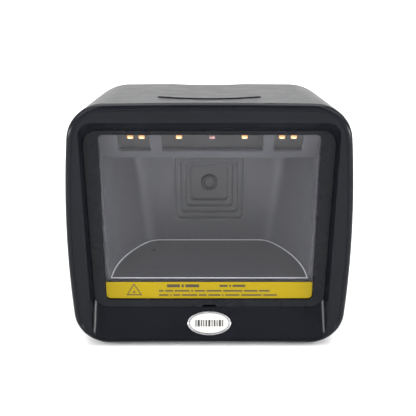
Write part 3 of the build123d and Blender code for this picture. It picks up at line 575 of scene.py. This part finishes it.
class ScannerInside(bpy.types.PropertyGroup):
    """Sizes of what shows behind the window."""
    low_front: length("Floor half width, front", "Half the floor's width at the window", 55.3)
    low_middle: length("Floor half width, middle", "Half the floor's width half way back", 48.1)
    low_back: length("Floor half width, back", "Half the floor's width at the back wall", 35.0)
    high_front: length("Hood half width, front", "Half the hood's width at the window", 57.7)
    high_middle: length("Hood half width, middle", "Half the hood's width half way back", 55.6)
    high_back: length("Hood half width, back", "Half the hood's width at the back wall", 48.2)
    corner: length("Corner", "Rounding between side and back walls", 12.0)
    rim: length("Floor rim", "Radius of the bead round the floor", 0.42)
    baffle: length("Baffle mouth", "Width of the stepped baffle's first square", 39.5)
    baffle_end: length("Baffle end", "Width of the stepped baffle's last square", 22.0)
    baffle_step: length("Baffle step", "Depth of each step", 2.5)


def colour(label, about, value):
    """A colour property."""
    return bpy.props.FloatVectorProperty(name=label, description=about, subtype="COLOR", size=3, min=0.0,
                                         max=1.0, default=value)


def power(label, about, value):
    """A light's power, in watts."""
    return bpy.props.FloatProperty(name=label, description=about, default=value, min=0.0, unit="POWER")


class ScannerColours(bpy.types.PropertyGroup):
    """Base colours of the finishes that show most."""
    bezel: colour("Bezel", "Plastic of the front ring", (0.0046, 0.0052, 0.0074))
    frame: colour("Window frame", "Plastic of the frame round the window", (0.0052, 0.0058, 0.0080))
    shell: colour("Shell", "Plastic of the rear shell", (0.010, 0.0105, 0.0125))
    key: colour("Key", "Plastic of the key in the top", (0.009, 0.0095, 0.0115))
    inside: colour("Inside", "Plastic of the hood and baffle behind the window", (0.053, 0.054, 0.063))
    floor: colour("Floor", "Plastic of the floor behind the window", (0.05565, 0.0567, 0.06615))
    strip: colour("Strip", "Film of the strip along the window's foot", (0.270, 0.195, 0.002))
    badge: colour("Badge", "Enamel of the oval badge", (0.54, 0.53, 0.51))


class ScannerStudio(bpy.types.PropertyGroup):
    """The studio: backdrop colour, light and camera."""
    backdrop: bpy.props.FloatVectorProperty(name="Backdrop", description="Colour of floor and backdrop",
                                            subtype="COLOR", size=3, default=(0.92, 0.92, 0.92))
    top_light: power("Top light", "Power of the overhead softbox", 58.0)
    side_light: power("Side light", "Power of each side softbox", 16.0)
    strip_light: power("Strip light", "Power of the low strip on the right", 6.0)
    back_light: power("Back light", "Power of the light on the backdrop", 30.0)
    lens: bpy.props.FloatProperty(name="Lens", description="Focal length", default=72.1, unit="CAMERA")
    pitch: bpy.props.FloatProperty(name="Pitch", description="Downward angle of the camera",
                                   default=radians(23.25), unit="ROTATION", subtype="ANGLE")


# ------------------------------------------------------------------ the case
def case_outline(sizes, depth, inset=0.0):
    """The case's outline at a depth, drawn in by an inset: sizes pass evenly from seam to rear."""
    share = (depth - SEAM) / (REAR - SEAM)
    low_half, mid_half, top_half, top, crown, arch, top_radius = (
        first + (last - first) * share for first, last in (
            (sizes.low_half, sizes.rear_low_half), (sizes.mid_half, sizes.rear_mid_half),
            (sizes.top_half, sizes.rear_top_half), (sizes.top, sizes.rear_top),
            (sizes.crown, sizes.rear_crown), (sizes.arch, sizes.rear_arch),
            (sizes.top_radius, sizes.rear_top_radius)))
    return soft_box(low_half - inset, mid_half - inset, top_half - inset, sizes.foot + inset, top - inset,
                    sizes.widest, crown, arch, sizes.low_radius - inset, top_radius - inset)


def recess_outline(sizes, depth, grow=0.0):
    """The recess's outline at a depth, grown by an amount: it narrows evenly to the window frame."""
    share = min((depth - FRONT) / (FRAME_FACE - FRONT), 1.0)
    top_half, low_half, low, top, radius = (
        first + (last - first) * share for first, last in (
            (sizes.front_top_half, sizes.back_top_half), (sizes.front_low_half, sizes.back_low_half),
            (sizes.front_low, sizes.back_low), (sizes.front_top, sizes.back_top),
            (sizes.front_radius, sizes.back_radius)))
    return soft_box(low_half + grow, (low_half + top_half) / 2 + grow + 0.02, top_half + grow, low - grow,
                    top + grow, (low + top) / 2, low_radius=radius + grow, top_radius=radius + grow)


def ledge_outline(grow=0.0):
    """The hole through the ledge behind the window."""
    return soft_box(59.8 + grow, 59.82 + grow, 59.8 + grow, 24.4 - grow, 123.1 + grow, 73.7,
                    low_radius=2.0 + grow, top_radius=2.0 + grow)


class SCANNER_OT_bezel(bpy.types.Operator):
    """Makes the front ring: a rounded profile carried round the case's outline."""
    bl_idname = "scanner.bezel"
    bl_label = "Front bezel"

    def execute(self, context):
        case = in_millimetres(context.scene.scanner_case)
        window = in_millimetres(context.scene.scanner_window)
        edge, lip, margin = case.edge, 0.7, 0.03
        rings = [at_depth(case_outline(case, SEAM, inset), depth)
                 for depth, inset in ((SEAM, 0.25), (SEAM - 0.25, margin))]
        rings += [at_depth(case_outline(case, SEAM, margin + edge * hollow), FRONT + edge - edge * rise)
                  for rise, hollow in quarter(9)]
        # a fine groove runs along the face just inside the rounded edge
        rings += [at_depth(case_outline(case, SEAM, edge + across), FRONT + depth)
                  for across, depth in ((0.35, 0.0), (0.5, 0.16), (0.7, 0.16), (0.85, 0.0))]
        outer, inner = rings[-1], at_depth(recess_outline(window, FRONT, lip), FRONT)
        rings += blend_rings(outer, inner, (0.15, 0.4, 0.65, 0.9, 1.0))
        rings += [at_depth(recess_outline(window, FRONT + lip * hollow, lip * (1 - rise)),
                           FRONT + lip * hollow) for rise, hollow in quarter(6)[1:]]
        rings += [at_depth(recess_outline(window, depth), depth)
                  for depth in np.linspace(FRONT + 1.6, FRAME_FACE - 0.3, 7)]
        ledge_front = PANE_BACK + 0.8
        rings += [at_depth(recess_outline(window, FRAME_FACE), depth) for depth in (FRAME_FACE, ledge_front)]
        rings += [at_depth(ledge_outline(), depth) for depth in (ledge_front, LEDGE_BACK)]
        rings += [at_depth(recess_outline(window, FRAME_FACE, 2.2), LEDGE_BACK)]
        rings += [at_depth(recess_outline(window, depth, 2.2), depth) for depth in (FRAME_FACE, SEAM + 0.01)]
        piece = ring_surface("bezel", rings, closed_path=True, sharp=40)
        finish_piece(piece, CASE, "bezel_plastic", finish("bezel_plastic"), "front_bezel")
        return {"FINISHED"}


def shroud_plan(inside, share, grow=0.0):
    """The shroud's open plan from the left front round the back to the right front, as x and y.

    Each side is an arc through three points, rounded into the straight back wall; the share passes
    from the floor's sizes to the hood's.
    """
    front_half, middle_half, back_half = (
        low + (high - low) * share + grow for low, high in (
            (inside.low_front, inside.high_front), (inside.low_middle, inside.high_middle),
            (inside.low_back, inside.high_back)))
    back = BACK_WALL + grow
    front = np.array([front_half, LEDGE_BACK - 0.7])
    side = circle_through(front, (middle_half, -0.7 - 1.3 * share), (back_half, back))
    wall = circle_through((-back_half, back), (0, back + 0.01), (back_half, back))
    centre = corner_centre(side, wall, np.array([back_half, back]), inside.corner)
    right = np.concatenate([arc(side[0], front, touch(side, centre), 40),
                            arc(centre, touch(side, centre), touch(wall, centre), 16),
                            arc(wall[0], touch(wall, centre), np.array([0, back + 0.01]), 20)])
    return np.concatenate([right * [-1, 1], [[0, back + 0.01]], right[::-1]])


class SCANNER_OT_inside(bpy.types.Operator):
    """Makes the floor with its bead and the stepped baffle round the lens; the bead's pale colour is a
    painted highlight along the floor's edge.
    """
    bl_idname = "scanner.inside"
    bl_label = "Floor and baffle"

    def execute(self, context):
        inside = in_millimetres(context.scene.scanner_inside)
        plan = shroud_plan(inside, 0.0, -0.25)
        front = np.linspace(plan[-1], plan[0], 40)[1:-1]
        plan = np.concatenate([plan, front])
        up = np.array([0.0, 0.0, 1.0])
        level, underside = FLOOR_LEVEL - 0.2, low_of("shroud_floor").z + 1.2
        edge = np.concatenate([plan, np.full((len(plan), 1), level)], 1)
        low_edge = edge - up * (level - underside)
        centre = np.array([0.0, -10.0, level])
        rings = blend_rings(low_edge, centre - up * (level - underside), (0.7, 0.0))
        rings += blend_rings(edge, centre, (0.0, 0.01, 0.1, 0.3, 0.5, 0.7, 0.9))
        floor = ring_surface("shroud_floor_top", rings)
        finish_piece(floor, CASE, "floor_plastic", finish("floor_plastic"), "shroud_floor")
        # a thin pale bead round the floor's edge: its light colour is a painted highlight
        rim = swept("floor_rim", edge + up * 0.02, outward_of(edge, up), up,
                    circle_profile(inside.rim, 10, 0.6) - [inside.rim, 0])
        finish_piece(rim, CASE, "floor_plastic", finish("rim_plastic"))

        # the baffle: rounded squares step back towards the lens, each step's edge rounded off, and
        # each station is half a square's width, its depth behind the back wall and its corner radius
        flange_half, body_half, lens_half = 25.5, 20.7, 5.3
        flange_front, flange_back, wall = 1.95, 3.4, 1.6
        edge_round, groove, corner, outer_corner = 0.6, 0.3, 2.6, 3.0
        stations = [(flange_half, flange_front, corner), (body_half, flange_front, corner),
                    (body_half, 0.0, corner)]
        depth = 0.0
        for half in np.linspace(inside.baffle, inside.baffle_end, 4) / 2:
            stations += [(half + edge_round * (1 - share), depth + edge_round * fall, corner)
                         for share, fall in quarter(5)]
            depth += inside.baffle_step
            stations += [(half, depth + groove, corner), (half - 0.4, depth + groove, corner),
                         (half - 0.4, depth, corner)]
        stations += [(lens_half, depth, lens_half), (lens_half, depth + wall, lens_half),
                     (body_half, depth + wall, outer_corner), (body_half, flange_back, outer_corner),
                     (flange_half, flange_back, outer_corner)]
        rings = [at_depth(rounded_square(half, radius) + [0, CAMERA_LEVEL], BACK_WALL + back)
                 for half, back, radius in stations]
        baffle = ring_surface("stepped_baffle", rings, closed_path=True, sharp=50)
        finish_piece(baffle, CASE, "baffle_plastic", finish("baffle_plastic"), "camera_baffle")
        return {"FINISHED"}


class SCANNER_OT_badge(bpy.types.Operator):
    """Makes the oval badge: a domed plate, a plated rim and plain upright bars for a mark."""
    bl_idname = "scanner.badge"
    bl_label = "Badge"

    def execute(self, context):
        window = in_millimetres(context.scene.scanner_window)
        slope = (window.back_low - window.front_low) / (FRAME_FACE - FRONT)
        level = (low_of("badge_plate").z + high_of("badge_plate").z) / 2 - 0.02
        plane = Plane((0, FRAME_FACE - (window.back_low - level) / slope, level), (0, -slope, 1))
        turn = np.arange(96) * 2 * pi / 96
        oval = np.stack([np.cos(turn), np.sin(turn)], 1)
        plate_halves, rim_halves, dome = np.array([11.1, 5.6]), np.array([11.75, 6.25]), 0.35
        # the dome's height falls off with the square of the share of the way out
        rings = [plane.at(oval * plate_halves * share, height)
                 for share, height in ((0.5, -0.45), (1.0, -0.45), (1.0, 0.05), (0.985, 0.22))]
        rings += [plane.at(oval * plate_halves * share, 0.25 + dome * (1 - share ** 2))
                  for share in (0.96, 0.9, 0.75, 0.55, 0.35, 0.15)]
        plate = ring_surface("badge_face", rings, sharp=60)
        finish_piece(plate, CASE, "badge_enamel", finish("badge_enamel"), "badge_plate")
        path = plane.at(oval * rim_halves, 0.3)
        rim = swept("badge_ring", path, outward_of(path, plane.outward), plane.outward,
                    [(-0.55, -0.75), (0.55, -0.75), (0.57, -0.1), (0.48, 0.22), (0.26, 0.46), (0.0, 0.56),
                     (-0.26, 0.46), (-0.48, 0.22), (-0.57, -0.1)], sharp=60)
        finish_piece(rim, CASE, "badge_chrome", finish("badge_chrome"), "badge_rim")
        widths = np.array([0.5, 1.1, 0.5, 0.5, 0.8, 1.1, 0.5, 0.8, 0.5, 1.1, 0.5])
        places = np.cumsum(widths + 0.75) - widths / 2
        places -= places.mean()
        marks = bars("badge_marks", Plane(plane.at([0.0, 0.0], 0.42), plane.outward),
                     [(place, 0.0, width, 3.6) for place, width in zip(places, widths)], 0.24)
        finish_piece(marks, CASE, "badge_enamel", finish("badge_ink"))
        return {"FINISHED"}


class SCANNER_OT_strip(bpy.types.Operator):
    """Makes the plain marks on the yellow strip: a triangle with a dot, and rows of bars."""
    bl_idname = "scanner.strip"
    bl_label = "Strip marks"

    def execute(self, context):
        low, high = low_of("caution_strip"), high_of("caution_strip")
        middle, width, height = (low.z + high.z) / 2, high.x - low.x, high.z - low.z
        plane = Plane((0, low.y, middle), (0, -1, 0))
        proud = 0.04
        corners = np.array([[0, 1.0], [-0.93, -0.62], [0.93, -0.62]])
        place = np.array([-0.365 * width, -0.03 * height])
        outer, inner = corners * 0.46 * height + place, corners * 0.36 * height + place
        rings = [plane.at(outer), plane.at(outer, proud), plane.at(inner, proud), plane.at(inner)]
        sign = ring_surface("strip_sign", rings, closed_path=True)
        finish_piece(sign, CASE, "strip_film", finish("strip_ink"))
        rows = ((-0.205, 0.27, 0.18, (7.2, 1.2, 7.6)), (0.05, 0.27, 0.13, (4.4, 1.0, 7.0)),
                (-0.245, -0.04, 0.09, (2.6, 4.4, 8.2, 1.2, 5.6, 8.4, 10.6, 7.6, 5.8)),
                (-0.245, -0.30, 0.09, (5.4, 0.8, 3.8, 8.6, 4.4, 6.8, 0.8, 8.0, 11.4, 7.6)))
        boxes = [(place[0], place[1] - 0.08 * height, 1.1, 1.1)]
        for start, level, thick, words in rows:
            words = np.array(words)
            lefts = start * width + np.concatenate([[0], np.cumsum(words + 0.9)[:-1]])
            boxes += [(left + word / 2, level * height, word, thick * height)
                      for left, word in zip(lefts, words)]
        marks = bars("strip_bars", plane, boxes, proud)
        finish_piece(marks, CASE, "strip_film", finish("strip_ink"))
        return {"FINISHED"}


class SCANNER_OT_lamps(bpy.types.Operator):
    """Makes the pale resin cores of the lamps on the slanted boards."""
    bl_idname = "scanner.lamps"
    bl_label = "Lamp cores"

    def execute(self, context):
        along = PANEL_FOOT - PANEL_TOP
        panel = Plane((PANEL_TOP + PANEL_FOOT) / 2, (0, along[2], -along[1]))
        face = Plane(panel.at([0.0, LAMP_LEVEL], LAMP_FACE), panel.outward)
        # the cores' finish glows faintly, a painted glow on unlit lamps
        cores = bars("lamp_cores", face, [(place, 0.05, 2.2, 1.15) for place in LAMP_PLACES], 0.06)
        finish_piece(cores, CASE, "lamp_resin", finish("lamp_core"))
        return {"FINISHED"}


class SCANNER_OT_nodes(bpy.types.Operator):
    """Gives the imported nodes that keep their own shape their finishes."""
    bl_idname = "scanner.nodes"
    bl_label = "Packed nodes"

    def execute(self, context):
        dress(*frame["nodes"])
        return {"FINISHED"}


class SCANNER_OT_stage(bpy.types.Operator):
    """Makes the floor, the backdrop, the lights and the camera."""
    bl_idname = "scanner.stage"
    bl_label = "Studio"

    def execute(self, context):
        studio = context.scene.scanner_studio
        # a round floor that turns up into a backdrop: its radius grows, then passes a quarter circle
        sides, flat, curve = 96, 2000.0, 1000.0
        bend = np.linspace(0, pi / 2, 16)
        radius = np.concatenate([[300.0, 900.0, 1600.0], flat + curve * np.sin(bend), [flat + curve] * 2])
        height = np.concatenate([[0.0, 0.0, 0.0], curve * (1 - np.cos(bend)), [2200.0, 3400.0]])
        turn = np.arange(sides) * 2 * pi / sides
        rings = np.stack([radius[:, None] * np.cos(turn), radius[:, None] * np.sin(turn),
                          np.repeat(height[:, None], sides, 1)], -1)
        side = np.arange(sides)
        fan = np.stack([side, (side + 1) % sides, np.full(sides, len(radius) * sides)], 1)
        floor = add_mesh("studio_floor", np.concatenate([rings.reshape(-1, 3), [[0.0, 0.0, 0.0]]]),
                         [grid_faces(len(radius), sides, False, True), fan])
        nodes = Nodes("studio_paper")
        shader = nodes.add("ShaderNodeBsdfPrincipled", Roughness=0.9, Specular_IOR_Level=0.1)
        tone = nodes.noise(60.0, 2.0)
        paper = nodes.tint(nodes.spread(tone, 0, 1), shade(studio.backdrop, 0.99), tuple(studio.backdrop))
        nodes.link(paper, shader.inputs["Base Color"])
        nodes.link(shader.outputs[0], nodes.output.inputs["Surface"])
        floor.data.materials.append(nodes.material)

        world = bpy.data.worlds.new("studio_air")
        world.use_nodes = True
        world.node_tree.nodes["Background"].inputs["Color"].default_value = (1, 1, 1, 1)
        world.node_tree.nodes["Background"].inputs["Strength"].default_value = 0.05
        context.scene.world = world
        for name, power, size, place, aim in (
                ("top_softbox", studio.top_light, (2.0, 2.0), (0.0, 0.55, 2.0), (0, 0.55, 0)),
                ("left_softbox", studio.side_light, (1.1, 1.1), (-1.05, -0.75, 1.05), (0, -0.04, 0.06)),
                ("right_softbox", studio.side_light, (1.1, 1.1), (1.05, -0.75, 1.05), (0, -0.04, 0.06)),
                ("left_strip", studio.strip_light * 0.8, (0.5, 0.14), (-0.85, -0.5, 0.08), (0, -0.04, 0.05)),
                ("right_strip", studio.strip_light, (0.5, 0.14), (0.85, -0.5, 0.08), (0, -0.04, 0.05)),
                ("back_wash", studio.back_light, (2.4, 2.4), (0.0, 0.9, 2.2), (0, 1.9, 0.4))):
            light = bpy.data.lights.new(name, "AREA")
            light.shape = "RECTANGLE"
            light.energy, light.size, light.size_y = power, *size
            holder = bpy.data.objects.new(name, light)
            holder.visible_camera = False
            holder.location = place
            holder.rotation_euler = (Vector(aim) - Vector(place)).to_track_quat("-Z", "Y").to_euler()
            context.scene.collection.objects.link(holder)

        camera = bpy.data.cameras.new("camera")
        camera.lens, camera.sensor_width = studio.lens, 36.0
        viewer = bpy.data.objects.new("camera", camera)
        viewer.location = (-0.0007, -0.4445, 0.2559)
        viewer.rotation_euler = (pi / 2 - studio.pitch, 0, 0)
        context.scene.collection.objects.link(viewer)
        context.scene.camera = viewer
        context.scene.view_settings.view_transform = "Standard"
        return {"FINISHED"}


class SCANNER_PT_panel(bpy.types.Panel):
    """The sidebar panel that lists the sizes and the pieces."""
    bl_idname = "SCANNER_PT_panel"
    bl_label = "Barcode scanner"
    bl_space_type = "VIEW_3D"
    bl_region_type = "UI"
    bl_category = "Scanner"

    def draw(self, context):
        for group in (getattr(context.scene, name) for name in GROUPS):
            box = self.layout.box()
            for name in group.bl_rna.properties.keys():
                if name not in ("rna_type", "name"):
                    box.prop(group, name)
        for operator in OPERATORS:
            self.layout.operator(operator.bl_idname)


GROUPS = {"scanner_case": ScannerCase, "scanner_window": ScannerWindow,
          "scanner_inside": ScannerInside, "scanner_colours": ScannerColours,
          "scanner_studio": ScannerStudio}
OPERATORS = (SCANNER_OT_nodes, SCANNER_OT_bezel, SCANNER_OT_strip, SCANNER_OT_badge, SCANNER_OT_inside,
             SCANNER_OT_lamps, SCANNER_OT_stage)


def register():
    """Registers the classes and gives the scene its property groups."""
    for kind in (*GROUPS.values(), *OPERATORS, SCANNER_PT_panel):
        bpy.utils.register_class(kind)
    for name, group in GROUPS.items():
        setattr(bpy.types.Scene, name, bpy.props.PointerProperty(type=group))


def unregister():
    """Takes back what register added."""
    for name in GROUPS:
        delattr(bpy.types.Scene, name)
    for kind in reversed((*GROUPS.values(), *OPERATORS, SCANNER_PT_panel)):
        bpy.utils.unregister_class(kind)


def main():
    """Builds every piece in order."""
    register()
    for operator in OPERATORS:
        group, name = operator.bl_idname.split(".")
        getattr(getattr(bpy.ops, group), name)()


if __name__ == "__main__":
    main()
